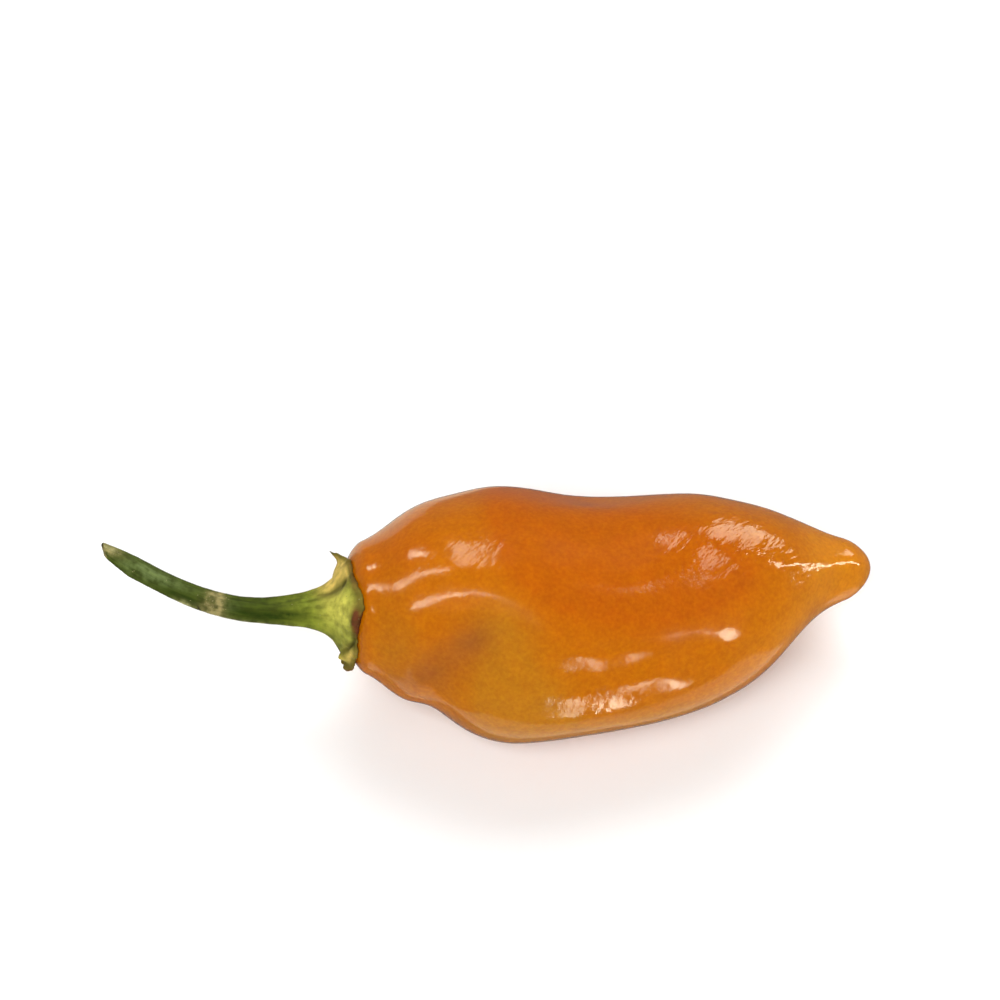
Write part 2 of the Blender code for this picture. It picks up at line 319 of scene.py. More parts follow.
# The hollow by the shoulder: browner for its bruised flesh, and darker still as painted shade in the dip.
BRUISED_AND_PAINTED_SHADE = [
    (12.3, 105.0, 3.4, 2.4, 38.0, 0.9),
    (8.0, 131.0, 3.2, 2.3, 30.0, 0.8),
    (5.5, 150.0, 1.6, 1.6, 0.0, 0.35),
]
WRINKLED = [
    (43.0, 55.0, 4.5, 3.4, 0.0, 1.3),
    (13.5, 50.0, 3.0, 3.2, 0.0, 0.65),
    (7.5, 58.0, 3.0, 1.6, 0.0, 0.35),
    (52.0, 80.0, 5.0, 3.0, 0.0, 0.5),
    (27.0, 135.0, 5.0, 3.0, 0.0, 0.14),
    (38.0, 125.0, 4.0, 3.0, 0.0, 0.14),
    (40.0, 240.0, 9.0, 6.0, 0.0, 0.8),
    (20.0, 320.0, 7.0, 5.0, 0.0, 0.5),
]
print(len(SHALLOW_RELIEF), "shallow swells and hollows")

# %% The pod's rings, and its masks
POD_AROUND, SHOULDER_RINGS, BODY_RINGS, TIP_RINGS = 336, 24, 226, 26


def pod_places():
    """Where the pod's rings are along X: closer together round both domes."""
    opening = np.linspace(0, math.pi / 2, SHOULDER_RINGS + 1)[1:]
    shoulder = POD_START + SHOULDER_DOME * (1 - np.cos(opening))
    closing = np.linspace(math.pi / 2, 0, TIP_RINGS + 1)[:-1]
    tip = POD_END - TIP_DOME * (1 - np.cos(closing))
    body = np.linspace(shoulder[-1], tip[0], BODY_RINGS + 2)[1:-1]
    return np.concatenate([shoulder, body, tip])


pod_clock = np.arange(POD_AROUND) * 360.0 / POD_AROUND
pod_grid = np.meshgrid(pod_places()[:-1], pod_clock, indexing="ij")
pod_rings = pod_skin(*pod_grid)
pod_reach = outline_reach(*pod_grid)

# The pod's own box settles where these numbers lie in the frame: its tip, and the middle of its width.
pod_low, pod_high = (np.array(corner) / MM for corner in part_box("pod"))
in_frame = np.array([
    pod_high[0] - POD_END,
    (pod_low[1] + pod_high[1] - pod_rings[..., 1].min() - pod_rings[..., 1].max()) / 2,
    0.0,
])
print("the chilli's own zero is at", in_frame.round(2), "mm in the frame")

pod_masks = {}
for mask, patches in (
    ("deep", DEEP_ORANGE), ("golden", GOLDEN), ("amber", AMBER_AND_PAINTED_LIGHT), ("bruise", BRUISED_AND_PAINTED_SHADE),
    ("wrinkled", WRINKLED),
):
    pod_masks[mask] = mounds(*pod_grid, pod_reach, patches).clip(0, 1)
pod_ends = pod_skin(np.array([POD_START, POD_END]), np.zeros(2)) + in_frame
pod_plain = closed_mesh("pod_plain", pod_rings + in_frame, *pod_ends, pod_masks)
print("the pod's plain skin has", len(pod_plain.polygons), "faces")

# %% [markdown]
# A pod that has lain a few days is never quite smooth: the skin undulates, and fine wrinkles run slanting
# across it and break up the reflections, in some places far more than in others. Sculpting them would
# take hours and a dense mesh everywhere. Here Geometry Nodes push each point along its normal by two
# layers of noise, long swells and short wrinkles, and the painted mask says how deep the wrinkles go. It
# is a modifier with named inputs, so the same tree also roughens the stem. The last step lifts any point
# that would dip under the table.

# %% How a tree starts and ends
def start_tree(name, inputs):
    """A Geometry Nodes tree with these named inputs, and their sockets inside it."""
    tree = bpy.data.node_groups.new(name, "GeometryNodeTree")
    tree.interface.new_socket("Geometry", in_out="OUTPUT", socket_type="NodeSocketGeometry")
    for title, kind in (("Geometry", "Geometry"), *inputs, ("Material", "Material")):
        tree.interface.new_socket(title, in_out="INPUT", socket_type="NodeSocket" + kind)
    return tree, add_node(tree, "NodeGroupInput").outputs


def end_tree(tree, geometry, material):
    """Makes instances real, because only real points are baked, and gives them their material."""
    real = add_node(tree, "GeometryNodeRealizeInstances", {"Geometry": geometry})
    skinned = add_node(tree, "GeometryNodeSetMaterial", {"Geometry": real.outputs[0], "Material": material})
    add_node(tree, "NodeGroupOutput", {0: skinned.outputs[0]})
    print(tree.name, "has", len(tree.nodes), "nodes")


# %% Geometry Nodes: surface relief
# Any place is allowed along X and Y, in metres, but none under the table.
LOWEST_PLACE = (-10.0, -10.0, 0.0)


def relief_tree():
    """Pushes a mesh's points along their normals, by long swells and by painted wrinkles."""
    tree, given = start_tree("surface_relief", (
        ("Swell height", "Float"),
        ("Swell length", "Vector"),
        ("Wrinkle height", "Float"),
        ("Wrinkle lengths", "Vector"),
        ("Smoothest share", "Float"),
        ("Turn", "Vector"),
        ("Seed", "Float"),
    ))
    place = add_node(tree, "GeometryNodeInputPosition").outputs[0]
    turned = add_node(tree, "ShaderNodeVectorRotate", {"Vector": place, "Rotation": given["Turn"]},
                      rotation_type="EULER_XYZ").outputs[0]
    painted = add_node(tree, "GeometryNodeInputNamedAttribute", {"Name": "wrinkled"}, data_type="FLOAT")
    share = add_node(tree, "ShaderNodeMapRange", {
        "Value": painted.outputs[0], "To Min": given["Smoothest share"], "To Max": 1.0,
    }).outputs[0]
    heights = []
    for height, lengths, where, detail in (
        ("Swell height", "Swell length", place, 0.0),
        ("Wrinkle height", "Wrinkle lengths", turned, 1.5),
    ):
        scaled = add_node(tree, "ShaderNodeVectorMath", {0: where, 1: given[lengths]}, operation="DIVIDE")
        noise = add_node(tree, "ShaderNodeTexNoise", {
            "Vector": scaled.outputs[0], "W": given["Seed"], "Scale": 1.0, "Detail": detail,
        }, noise_dimensions="4D")
        centred = add_node(tree, "ShaderNodeMath", {0: noise.outputs[0], 1: 0.5}, operation="SUBTRACT")
        heights.append(add_node(tree, "ShaderNodeMath", {0: centred.outputs[0], 1: given[height]},
                                operation="MULTIPLY").outputs[0])
    total = add_node(tree, "ShaderNodeMath", {0: heights[1], 1: share, 2: heights[0]},
                     operation="MULTIPLY_ADD").outputs[0]
    normal = add_node(tree, "GeometryNodeInputNormal").outputs[0]
    push = add_node(tree, "ShaderNodeVectorMath", {0: normal, "Scale": total}, operation="SCALE").outputs[0]
    pushed = add_node(tree, "GeometryNodeSetPosition", {"Geometry": given["Geometry"], "Offset": push})
    moved = add_node(tree, "GeometryNodeInputPosition").outputs[0]
    above = add_node(tree, "ShaderNodeVectorMath", {0: moved, 1: LOWEST_PLACE}, operation="MAXIMUM")
    kept = add_node(tree, "GeometryNodeSetPosition", {
        "Geometry": pushed.outputs[0], "Position": above.outputs[0],
    })
    end_tree(tree, kept.outputs[0], given["Material"])
    return tree


RELIEF = relief_tree()


# %% A mesh run through a tree
def grown(name, mesh, tree, **values):
    """The plain mesh that this tree makes of a mesh, as a new object in the scene."""
    start = bpy.data.objects.new(name, mesh)
    bpy.context.scene.collection.objects.link(start)
    modifier = start.modifiers.new("grow", "NODES")
    modifier.node_group = tree
    sockets = {s.name: s for s in tree.interface.items_tree if s.in_out == "INPUT"}
    for key, value in values.items():
        modifier[sockets[key.replace("_", " ")].identifier] = value
    graph = bpy.context.evaluated_depsgraph_get()
    result = bpy.data.meshes.new_from_object(start.evaluated_get(graph))
    start.modifiers.remove(modifier)
    start.data = result
    result.name = name
    result.shade_smooth()
    print(name, "has", len(result.polygons), "faces")
    return start


# %% [markdown]
# Ripe chilli skin is a tight film of natural wax over juicy flesh. Nothing has polished it: it grew this
# smooth. To the eye the wax gives small, sharp reflections of the windows, broken up where fine creases
# run across them, and the flesh lets light in a few millimetres, which fills the shadows with orange.
#
# A coat over a rough base could give the same gloss, but one glossy layer is simpler and is what the skin
# is. So the shader has a low roughness, an IOR of 1.35, a little under that of a thick wax, and a little
# subsurface scattering. The colours mix by the painted masks. Noise breaks them up at three scales:
# patches of ripeness 6 mm wide, blotches of 2 mm, and the skin's cells, drawn coarser than life.

# %% Material: waxy, unevenly ripe chilli skin
CREASE_TURN = 42.0
PATCH_SIZE, BLOTCH_SIZE, CELL_SIZE, CREASE_WIDTH = 6.0, 1.8, 0.45, 0.55
CREASE_SHARE, BUMP_HEIGHT = 7.5, 0.04


def waxy_pod_skin():
    material, tree, shader = new_material("waxy_ripe_skin")
    spot = add_node(tree, "ShaderNodeTexCoord").outputs["Object"]
    patches, blotches, cells = (
        add_node(tree, "ShaderNodeTexNoise", {"Vector": spot, "Scale": 1 / (size * MM), "Detail": detail})
        for size, detail in ((PATCH_SIZE, 3.0), (BLOTCH_SIZE, 1.0), (CELL_SIZE, 2.0))
    )
    colour = linear("bb6600")
    # The bruise paint is partly painted shade in the hollow, and amber is partly painted light along the
    # far edge.
    for mask, shade in (
        ("deep", "b45800"), ("golden", "b47010"), ("amber", "cc7b10"), ("bruise", "9c571c"),
    ):
        # The patches of ripeness make the edge of what is painted ragged.
        painted = add_node(tree, "ShaderNodeAttribute", attribute_name=mask).outputs["Fac"]
        shifted = add_node(tree, "ShaderNodeMath", {0: patches.outputs[0], 1: -0.5})
        ragged = add_node(tree, "ShaderNodeMath", {0: shifted.outputs[0], 1: painted})
        uneven = add_node(tree, "ShaderNodeMath", {0: ragged.outputs[0], 1: painted},
                          operation="MULTIPLY", use_clamp=True)
        colour = add_node(tree, "ShaderNodeMix", {
            "Factor": uneven.outputs[0], "A": colour, "B": linear(shade),
        }, data_type="RGBA").outputs["Result"]
    mottled = add_node(tree, "ShaderNodeMath", {0: blotches.outputs[0], 1: 0.6, 2: cells.outputs[0]},
                       operation="MULTIPLY_ADD")
    tone = add_node(tree, "ShaderNodeMapRange", {
        "Value": mottled.outputs[0], "From Min": 0.5, "From Max": 1.1, "To Min": 0.89, "To Max": 1.11,
    }).outputs[0]
    hue = add_node(tree, "ShaderNodeMapRange", {
        "Value": cells.outputs[0], "From Min": 0.3, "From Max": 0.7, "To Min": 0.4965, "To Max": 0.5035,
    }).outputs[0]
    speckled = add_node(tree, "ShaderNodeHueSaturation", {"Hue": hue, "Value": tone, "Color": colour})
    tree.links.new(speckled.outputs[0], shader.inputs["Base Color"])
    rough = add_node(tree, "ShaderNodeMapRange", {
        "Value": patches.outputs[0], "From Min": 0.3, "From Max": 0.7, "To Min": 0.07, "To Max": 0.15,
    }).outputs[0]
    tree.links.new(rough, shader.inputs["Roughness"])
    shader.inputs["IOR"].default_value = 1.35
    shader.inputs["Subsurface Weight"].default_value = 0.15
    shader.inputs["Subsurface Radius"].default_value = (2.5, 0.9, 0.3)
    shader.inputs["Subsurface Scale"].default_value = MM
    slanted = add_node(tree, "ShaderNodeVectorRotate", {
        "Vector": spot, "Rotation": (0.0, 0.0, math.radians(CREASE_TURN)),
    }, rotation_type="EULER_XYZ")
    drawn_out = add_node(tree, "ShaderNodeMapping", {
        "Vector": slanted.outputs[0], "Scale": (1.0, 0.3, 0.3),
    })
    creases = add_node(tree, "ShaderNodeTexNoise", {
        "Vector": drawn_out.outputs[0], "Scale": 1 / (CREASE_WIDTH * MM), "Detail": 2.0,
    })
    wrinkled = add_node(tree, "ShaderNodeAttribute", attribute_name="wrinkled").outputs["Fac"]
    deepened = add_node(tree, "ShaderNodeMath", {0: creases.outputs[0], 1: wrinkled}, operation="MULTIPLY")
    heights = add_node(tree, "ShaderNodeMath", {
        0: deepened.outputs[0], 1: CREASE_SHARE, 2: cells.outputs[0],
    }, operation="MULTIPLY_ADD")
    bump = add_node(tree, "ShaderNodeBump", {
        "Height": heights.outputs[0], "Strength": 0.4, "Distance": BUMP_HEIGHT * MM,
    })
    tree.links.new(bump.outputs[0], shader.inputs["Normal"])
    return material


pod = grown(
    "pod_skin", pod_plain, RELIEF,
    Swell_height=0.25 * MM, Swell_length=(6.0 * MM, 6.0 * MM, 6.0 * MM),
    Wrinkle_height=0.2 * MM, Wrinkle_lengths=(0.75 * MM, 2.2 * MM, 2.2 * MM), Smoothest_share=0.1,
    Turn=(0.0, 0.0, math.radians(CREASE_TURN)), Seed=4.0, Material=waxy_pod_skin(),
)
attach(pod, "root")
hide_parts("pod")

# %% [markdown]
# The stem is a second tube, far thinner, with five soft ribs. It flares into the calyx, whose five
# sepals lie on the pod's shoulder. The calyx is laid out along the pod's own skin, by the distance walked
# from the pod's end, so it hugs the shoulder whatever its shape.

# %% The stem's and the calyx's form
# These are the solid's own numbers, apart from a few: here the calyx touches the shoulder, where the
# solid keeps a gap, its rim is thinner for the same outer surface, its upper tooth is shorter, and the cut
# end is rounder and slants more.
STEM_AXIS = [
    (4.0, 0.2, 14.4),
    (0.0, 0.0, 14.9),
    (-6.0, -0.4, 15.5),
    (-12.4, -0.7, 16.3),
    (-17.6, 0.2, 17.4),
    (-22.8, 2.1, 18.8),
    (-28.3, 4.6, 20.7),
]
STEM_RADIUS = [
    (-28.3, 1.14),
    (-27.0, 1.20),
    (-20.0, 1.24),
    (-16.6, 1.34),
    (-14.0, 1.38),
    (-10.0, 1.52),
    (-8.5, 1.64),
    (-6.7, 1.86),
    (-5.4, 2.06),
    (-4.4, 2.32),
    (-3.2, 2.82),
    (-2.3, 3.50),
]
STEM_START, STEM_END = -2.3, -28.1
STEM_RIBS, RIB_HEIGHT = 5, 0.055
CUT_SLANT, SLANT_LENGTH = 0.85, 3.0
CUT_ROUNDING = [(0.14, 0.95), (0.28, 0.85), (0.37, 0.70), (0.40, 0.48), (0.33, 0.25)]
CALYX_GAP = 0.06
CALYX_REACH = 6.4
RIM_ROUNDING = 0.25
FLANGE_INNER = 4.3
FLANGE_HEIGHT, RIM_HEIGHT = 1.04, 0.5
CURL_START, CURL_POWER = 5.2, 1.5
TOOTH_POWER, TOOTH_PLATEAU = 1.3, 0.75
SEPAL_BULGE = 0.08
PLEATS_START = -6.0
# Each tooth's clock angle, half-width, length past the rim, and how far its tip curls back.
SEPALS = [
    (2.0, 17.0, 0.3, 1.9),
    (82.0, 34.0, 1.3, 0.0),
    (170.0, 24.0, 0.5, 0.6),
    (238.0, 26.0, 1.3, 0.1),
    (305.0, 28.0, 1.1, 0.3),
]
# Each fold between two sepals: its clock angle, half its width, and how deep it is.
FOLDS = [(43.0, 8.0, 0.3), (127.0, 6.0, 0.1), (204.0, 9.0, 0.3), (272.0, 9.0, 0.35), (333.0, 9.0, 0.3)]
# Mounds on the calyx, told like the pod's. Their place is the distance from the middle of the calyx.
CALYX_RELIEF = [
    (4.9, 50.0, 0.7, 0.7, 0.0, -0.45),  # the pit beside the upper sepal
    (5.4, 84.0, 1.2, 1.9, 0.0, 0.3),  # the front sepal's cushion
    (7.0, 104.0, 0.6, 1.0, 0.0, 0.5),  # where its rim has dried and lifted off the pod
    (6.8, 2.0, 0.9, 1.2, 0.0, 0.4),  # the upper tooth's thick tip
    (5.9, 128.0, 1.9, 0.2, 66.0, -0.5),  # where the front sepal's edge overlaps the near one
    (6.7, 138.0, 1.2, 0.6, 66.0, -0.25),
    (5.2, 160.0, 0.4, 0.5, 0.0, 1.0),  # crumpled lumps on the near sepal
    (6.2, 171.0, 0.35, 0.45, 0.0, 0.95),
    (5.7, 184.0, 0.4, 0.45, 0.0, 0.8),
    (6.8, 178.0, 0.3, 0.4, 0.0, 0.8),
    (5.6, 240.0, 1.2, 1.6, 0.0, 0.25),  # the cushions of the sepals at the back
    (5.6, 303.0, 1.2, 1.6, 0.0, 0.25),
]
# Fine waves round the rim: how many there are, where they start and how high they are.
RIM_CRINKLES = [(13, 1.0, 0.07), (29, 2.0, 0.05), (47, 0.0, 0.03)]
print("the stem is", STEM_START - STEM_END, "mm long, and the calyx has", len(SEPALS), "sepals")

# %% [markdown]
# The calyx could be modelled flat and wrapped on with a Shrinkwrap modifier, but that presses every fold
# flat as well. So each of its points is first found on the pod's skin, by walking the right distance from
# the pod's end, and is then raised along the outward direction there, by the rim's thickness and by
# the folds and lumps. Each tooth's tip is pulled back towards the stalk, which curls it off the pod.

# %% Laying the calyx along the pod's skin, and the stalk round its own middle line
def skin_from_end(distance, clock):
    """Points on the pod's skin this far from its end, and the outward directions there."""
    span, steps, stride = 9.0, 160, 0.3
    places = POD_START + span * np.linspace(0, 1, steps) ** 2
    skin = pod_skin(*np.meshgrid(places, clock, indexing="ij"))
    lengths = np.cumsum(np.linalg.norm(np.diff(skin, axis=0), axis=-1), axis=0)
    walked = np.vstack([np.zeros(len(clock)), lengths])

    def at(lengths_out):
        rows = []
        for i, length in enumerate(lengths_out):
            rows.append([np.interp(length, walked[:, i], skin[:, i, k]) for k in range(3)])
        return np.array(rows)

    points = at(distance)
    ahead = unit(at(distance + stride) - points)
    _, across = clock_directions(POD_AXIS, np.full(len(clock), POD_START), clock)
    around = unit(np.cross(ahead, across))
    return points, unit(np.cross(around, ahead))


def sepal_shape(clock):
    """How far the calyx's rim reaches at each clock angle, and how far it curls back there."""
    reach = np.full(clock.shape, CALYX_REACH)
    curl = np.zeros(clock.shape)
    for angle, half_width, length, curl_back in SEPALS:
        off = np.abs(round_from(angle, clock)) / half_width
        tooth = np.minimum(np.clip(1 - off, 0, 1) ** TOOTH_POWER, TOOTH_PLATEAU) / TOOTH_PLATEAU
        reach = reach + length * tooth
        curl = curl + curl_back * tooth
    turn = np.radians(clock)
    crinkle = sum(np.sin(waves * turn + shift) * height for waves, shift, height in RIM_CRINKLES)
    return reach + crinkle, curl


def pleats(clock):
    """How far the calyx bulges along its sepals, and how far it folds in between them."""
    height = np.full(clock.shape, SEPAL_BULGE)
    for angle, half_width, depth in FOLDS:
        off = round_from(angle, clock) / half_width
        height -= depth * np.exp(-off**2 / 2)
    return height


def calyx_ring(distance, clock, height, pleated=0.0):
    """A ring of the calyx, this far out along the pod's skin and this high above the gap."""
    reach, curl = sepal_shape(clock)
    points, outward = skin_from_end(distance, clock)
    relief = pleats(clock) + mounds(distance, clock, distance, CALYX_RELIEF)
    raised = CALYX_GAP + np.maximum(height + pleated * relief, 0.0)
    curled = curl * np.clip((distance - CURL_START) / (reach - CURL_START), 0, 1) ** CURL_POWER
    return points + raised[:, None] * outward - curled[:, None] * (1, 0, 0)


def stalk_ring(place, clock, share, slant):
    """A ring across the stalk, ribbed, and slanted where it is near the cut."""
    radius = share * smooth_through(STEM_RADIUS, np.array([place]))[0, 0]
    ribbed = radius * (1 + RIB_HEIGHT * np.cos(np.radians(STEM_RIBS * clock)))
    pleated = np.clip((place - PLEATS_START) / (STEM_START - PLEATS_START), 0, 1) ** 2
    ribbed = ribbed + pleats(clock) * pleated
    points, direction = clock_directions(STEM_AXIS, np.full(clock.shape, place), clock)
    points = points + ribbed[:, None] * direction
    points[:, 0] -= slant * share * np.cos(np.radians(clock))
    return points


# %% [markdown]
# A stem this small could carry one brown-green noise, but the photographed one has marks of its own: dark
# streaks along the fibres, a greyish bloom where the wax has stayed, a pale scar all round, and a calyx
# that runs from yellow-green to tan and dried brown. They are painted as mounds on the points of
# the mesh, not as an image, so nothing has to be unwrapped and they lie right from every side.

# %% What the stem's skin looks like where
# On the stalk, mounds lie at a place along X. On the calyx, they lie at a distance from its middle.
STALK_PAINT = {
    "streak": [
        (-11.3, 104.0, 1.9, 0.28, -3.0, 1.0), (-7.6, 101.0, 1.3, 0.3, -6.0, 0.9),
        (-9.2, 118.0, 1.6, 0.2, 0.0, 0.6), (-19.6, 112.0, 1.3, 0.28, 3.0, 1.0),
        (-17.9, 120.0, 0.6, 0.25, 0.0, 0.8), (-13.4, 62.0, 1.2, 0.25, 0.0, 0.35),
        (-12.0, 250.0, 3.5, 0.35, 3.0, 0.8), (-21.0, 300.0, 3.0, 0.3, -3.0, 0.7),
        (-8.0, 200.0, 2.0, 0.3, 0.0, 0.5),
    ],
    "bloom": [
        (-23.6, 78.0, 1.5, 0.7, 0.0, 0.9), (-21.4, 60.0, 2.0, 0.6, 0.0, 0.6),
        (-14.0, 85.0, 0.7, 0.5, 0.0, 0.5), (-26.0, 100.0, 1.0, 0.5, 0.0, 0.4),
        (-18.0, 250.0, 3.0, 0.9, 0.0, 0.7),
    ],
    "scar": [
        (-15.9, 122.0, 0.7, 0.75, 0.0, 1.2), (-15.7, 70.0, 0.7, 0.9, 0.0, 0.9),
        (-15.9, 20.0, 0.6, 0.7, 0.0, 0.7), (-15.8, 180.0, 0.9, 0.8, 0.0, 1.0),
        (-16.0, 250.0, 0.7, 0.8, 0.0, 0.6), (-15.8, 320.0, 0.6, 0.7, 0.0, 0.5),
        (-28.0, 45.0, 0.9, 0.6, 0.0, 1.2),
    ],
    "pale": [
        (-18.7, 148.0, 0.6, 0.3, 0.0, 0.9), (-27.7, 40.0, 0.5, 0.35, 0.0, 0.7),
        (-12.0, 160.0, 3.0, 0.3, 0.0, 0.4),
    ],
    "dark": [(-17.2, 138.0, 0.07, 0.22, 35.0, 1.2), (-13.3, 160.0, 0.12, 0.12, 0.0, 0.7)],
}
CALYX_PAINT = {
    "tan": [
        (5.2, 14.0, 1.8, 2.0, 0.0, 1.2), (6.3, 36.0, 1.0, 1.0, 0.0, 1.0),
        (6.6, 150.0, 1.0, 1.2, 0.0, 1.2), (6.6, 238.0, 1.0, 1.4, 0.0, 0.7),
        (6.8, 305.0, 0.9, 1.4, 0.0, 0.7),
    ],
    "cushion": [
        (5.2, 88.0, 1.5, 2.0, 0.0, 1.0), (5.2, 240.0, 1.2, 1.4, 0.0, 0.6),
        (5.2, 303.0, 1.2, 1.4, 0.0, 0.6),
    ],
    # Painted shade: darker olive in the calyx's pit, its folds and the crease where its sepals overlap.
    "fold": [
        (4.8, 50.0, 0.7, 0.6, 0.0, 1.1), (5.9, 128.0, 1.9, 0.2, 66.0, 1.2),
        (5.8, 204.0, 1.3, 0.4, 0.0, 0.7), (5.8, 272.0, 1.3, 0.4, 0.0, 0.7),
        (5.8, 333.0, 1.3, 0.4, 0.0, 0.7), (6.9, 4.0, 0.5, 0.8, 0.0, 0.9),
        (5.7, 170.0, 0.9, 0.25, 50.0, 0.8), (6.5, 186.0, 0.5, 0.4, 0.0, 0.6),
    ],
    "dried": [
        (7.15, 102.0, 0.42, 1.1, 0.0, 2.4), (7.3, 60.0, 0.25, 0.8, 0.0, 0.5),
        (7.0, 178.0, 0.6, 0.9, 0.0, 0.8), (5.6, 176.0, 0.8, 0.7, 0.0, 0.6),
        (6.8, 45.0, 0.35, 1.6, 0.0, 0.5), (7.6, 238.0, 0.4, 1.0, 0.0, 1.0),
        (7.4, 300.0, 0.35, 1.0, 0.0, 0.8),
    ],
}
STEM_PAINTS = ("wrinkled", "flare", "rim", *CALYX_PAINT, *STALK_PAINT)
print(len(STEM_PAINTS), "paints on the stem and the calyx")

# %% [markdown]
# The stem is one closed skin, as on the real plant, so that no seam shows where the stalk spreads into the
# calyx. Its rings start under the calyx, where it touches the pod, come round the rim, run in over the
# outer face to the foot of the stalk, and then along the stalk to the cut, which is rounded off. Each
# ring also notes where its fibres run: along the stalk, and fanning out over the calyx.

# %% What each of the stem's rings carries
STEM_AROUND, UNDER_RINGS, FLANGE_RINGS, STALK_RINGS = 260, 24, 26, 190
# The radius that the fibres are drawn at, and what makes them run on from the calyx into the stalk.
FIBRE_RADIUS, FIBRE_SHIFT = 1.3, FLANGE_INNER - STEM_START
PLAIN_WRINKLES, RIM_WRINKLES = 0.25, 0.6
stem_clock = np.arange(STEM_AROUND) * 360.0 / STEM_AROUND
stem_rings, stem_masks = [], {name: [] for name in STEM_PAINTS + ("fibre",)}


def add_ring(points, along, paints):
    """One more ring. Its fibres run along the stalk, and fan out over the calyx."""
    stem_rings.append(points)
    for name in STEM_PAINTS:
        stem_masks[name].append(np.broadcast_to(paints.get(name, 0.0), stem_clock.shape).clip(0, 1))
    turn = np.radians(stem_clock)
    along = np.broadcast_to(along, stem_clock.shape)
    fibre = np.stack([along, FIBRE_RADIUS * np.cos(turn), FIBRE_RADIUS * np.sin(turn)], -1)
    stem_masks["fibre"].append(fibre * MM)


def calyx_paints(distance, rim):
    """The calyx's paints at this distance from its middle. Its rim is more wrinkled than the rest."""
    paints = {name: mounds(distance, stem_clock, distance, spots) for name, spots in CALYX_PAINT.items()}
    wrinkled = PLAIN_WRINKLES + RIM_WRINKLES * np.clip(rim, 0, 1) + paints["dried"]
    return {"flare": 1.0, "rim": rim, "wrinkled": wrinkled, **paints}


# %% The rings, from under the calyx to the cut
# The green flares to yellow-green from FLARE_START on, and the calyx's paints fade out up the stalk.
FLARE_START, FLARE_LENGTH = -10.0, 6.0
PAINT_FADE = 1.5
RING_CROWDING = 0.35
RIM_STEPS, RIM_RELIEF_SHARE = (0.3, 0.65), 0.8
PLEATED_AT_RIM = 0.6
RIM_PAINT, RIM_PAINT_FADE = 0.9, 4.0
# The dark spot on the cut: its clock angle, half its angle, its share of the radius, and half its width.
SPOT_CLOCK, SPOT_HALF_ANGLE, SPOT_SHARE, SPOT_HALF_WIDTH = 20.0, 45.0, 0.75, 0.3

rim_reach, _ = sepal_shape(stem_clock)
rim_relief = mounds(rim_reach, stem_clock, rim_reach, CALYX_RELIEF)
for share in np.linspace(0, 1, UNDER_RINGS + 1)[1:]:
    under = share * rim_reach
    add_ring(calyx_ring(under, stem_clock, 0.0), under - FIBRE_SHIFT, calyx_paints(under, 1.0))
for share in RIM_STEPS:
    add_ring(calyx_ring(rim_reach, stem_clock, share * (RIM_HEIGHT + RIM_RELIEF_SHARE * rim_relief)),
             rim_reach - FIBRE_SHIFT, calyx_paints(rim_reach + 0.3, 1.0))
rim_edge = rim_reach - RIM_ROUNDING
for share in np.linspace(0, 1, FLANGE_RINGS):
    height = RIM_HEIGHT + (FLANGE_HEIGHT - RIM_HEIGHT) * share
    distance = rim_edge + share * (FLANGE_INNER - rim_edge)
    pleated = PLEATED_AT_RIM + (1 - PLEATED_AT_RIM) * share
    add_ring(calyx_ring(distance, stem_clock, height, pleated), distance - FIBRE_SHIFT,
             calyx_paints(distance, RIM_PAINT - RIM_PAINT_FADE * share))
for t in np.linspace(0, 1, STALK_RINGS):
    place = STEM_START + (STEM_END - STEM_START) * (RING_CROWDING * t**2 + (1 - RING_CROWDING) * t)
    slant = CUT_SLANT * max(0.0, 1 - (place - STEM_END) / SLANT_LENGTH)
    radius = smooth_through(STEM_RADIUS, np.array([place]))[0, 0]
    places = np.full(stem_clock.shape, place)
    paints = {name: mounds(places, stem_clock, radius, spots) for name, spots in STALK_PAINT.items()}
    for name in ("cushion", "tan", "fold"):
        foot = np.full(stem_clock.shape, FLANGE_INNER)
        paints[name] = mounds(foot, stem_clock, FLANGE_INNER, CALYX_PAINT[name])
        paints[name] = paints[name] * math.exp(-((STEM_START - place) / PAINT_FADE) ** 2)
    paints["flare"] = (place - FLARE_START) / FLARE_LENGTH
    add_ring(stalk_ring(place, stem_clock, 1.0, slant), place, paints)
for past_cut, share in CUT_ROUNDING:
    inwards = math.exp(-((share - SPOT_SHARE) / SPOT_HALF_WIDTH) ** 2)
    spot = inwards * np.exp(-(round_from(SPOT_CLOCK, stem_clock) / SPOT_HALF_ANGLE) ** 2)
    add_ring(stalk_ring(STEM_END - past_cut, stem_clock, share, CUT_SLANT), STEM_END - past_cut,
             {"scar": 1.0, "dark": 1.3 * spot})
print(len(stem_rings), "rings of", STEM_AROUND, "points")

# %% The stem's plain skin
stem_ends = [
    stem_rings[-1].mean(axis=0) + in_frame,
    calyx_ring(np.zeros(STEM_AROUND), stem_clock, 0.0).mean(axis=0) + in_frame,
]
stem_masks = {name: np.array(values[::-1]) for name, values in stem_masks.items()}
stem_plain = closed_mesh("stem_plain", np.array(stem_rings[::-1]) + in_frame, *stem_ends, stem_masks)
print("the stem's plain skin has", len(stem_plain.polygons), "faces")


# %% [markdown]
# The stem's rind is dull beside the pod. It is a dry, faintly furrowed skin that was never waxed, so it
# shows no reflections, only a soft sheen where it turns to the light. What the eye reads is its colour:
# dark green with darker streaks along the fibres, a greyish bloom on top, a band of pale scar, and
# yellow-green where it swells into the calyx, whose rim has dried to brown. Every paint is one mask mixed
# over the last. The finest fibres are drawn twice as coarse as life, to show at this distance.

# %% Material: green stem rind
MOTTLE_SIZE, FIBRE_WIDTH, RIND_BUMP_HEIGHT = 0.9, 0.3, 0.06


